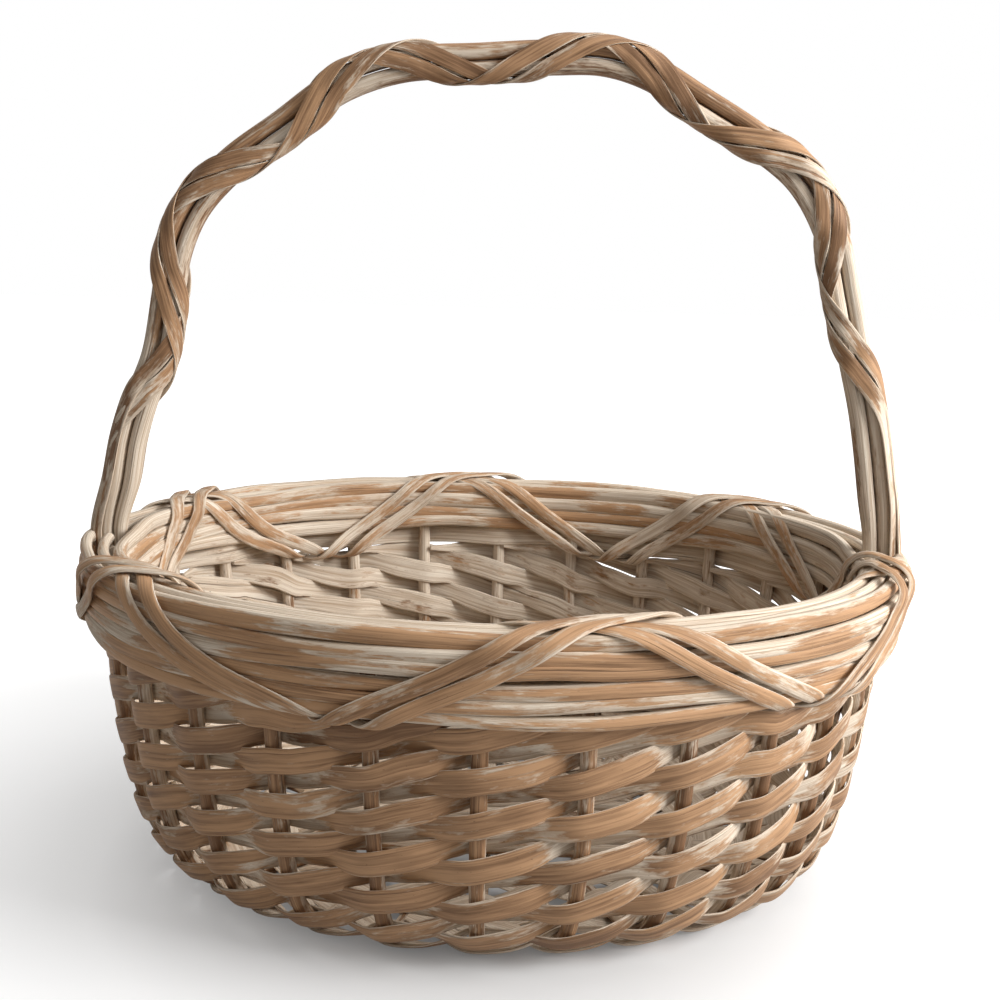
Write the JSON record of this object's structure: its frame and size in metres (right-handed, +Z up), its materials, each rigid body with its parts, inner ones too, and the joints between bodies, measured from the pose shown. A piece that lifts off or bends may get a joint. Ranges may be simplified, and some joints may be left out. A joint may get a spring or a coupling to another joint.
{
  "type": "gathering basket",
  "caption": "Oval whitewashed split-willow gathering basket with climbing weavers on round stakes, a rod rim bound by crossing skeins and a tall wound bow handle.",
  "frame": {"origin": "on the floor under the middle of the base, halfway between the handle feet", "axes": "+X towards the handle's right foot, -Y towards the front, +Z up"},
  "size_m": [0.4089, 0.3154, 0.4044],
  "materials": {
    "stake_willow": "worn whitewash over tan willow",
    "split_willow": "worn whitewash over tan willow",
    "rim_willow": "worn whitewash over tan willow",
    "handle_willow": "worn whitewash over tan willow"
  },
  "bodies": {
    "root": {"cross_stake_rod_1": "stake_willow", "cross_stake_rod_2": "stake_willow", "cross_stake_rod_3": "stake_willow", "cross_stake_rod_4": "stake_willow", "cross_stake_rod_5": "stake_willow", "cross_stake_rod_6": "stake_willow", "cross_stake_rod_7": "stake_willow", "floor_weaver_1": "split_willow", "floor_weaver_2": "split_willow", "floor_weaver_3": "split_willow", "floor_weaver_4": "split_willow", "handle_bow_inner": "handle_willow", "handle_bow_outer": "handle_willow", "handle_wrap_falling_1": "handle_willow", "handle_wrap_falling_2": "handle_willow", "handle_wrap_rising_1": "handle_willow", "handle_wrap_rising_2": "handle_willow", "long_stake_rod_1": "stake_willow", "long_stake_rod_2": "stake_willow", "long_stake_rod_3": "stake_willow", "long_stake_rod_4": "stake_willow", "long_stake_rod_5": "stake_willow", "long_stake_rod_6": "stake_willow", "rim_filler_back": "rim_willow", "rim_filler_front": "rim_willow", "rim_inner_rod_1": "rim_willow", "rim_inner_rod_2": "rim_willow", "rim_inner_rod_3": "rim_willow", "rim_inner_rod_4": "rim_willow", "rim_lashing_left_1": "rim_willow", "rim_lashing_left_2": "rim_willow", "rim_lashing_right_1": "rim_willow", "rim_lashing_right_2": "rim_willow", "rim_outer_rod_1": "rim_willow", "rim_outer_rod_2": "rim_willow", "rim_outer_rod_3": "rim_willow", "rim_outer_rod_4": "rim_willow", "rim_outer_rod_5": "rim_willow", "rim_outer_rod_6": "rim_willow", "rim_weaver": "split_willow", "side_weaver_1": "split_willow", "side_weaver_10": "split_willow", "side_weaver_11": "split_willow", "side_weaver_12": "split_willow", "side_weaver_13": "split_willow", "side_weaver_2": "split_willow", "side_weaver_3": "split_willow", "side_weaver_4": "split_willow", "side_weaver_5": "split_willow", "side_weaver_6": "split_willow", "side_weaver_7": "split_willow", "side_weaver_8": "split_willow", "side_weaver_9": "split_willow"}
  },
  "joints": []
}
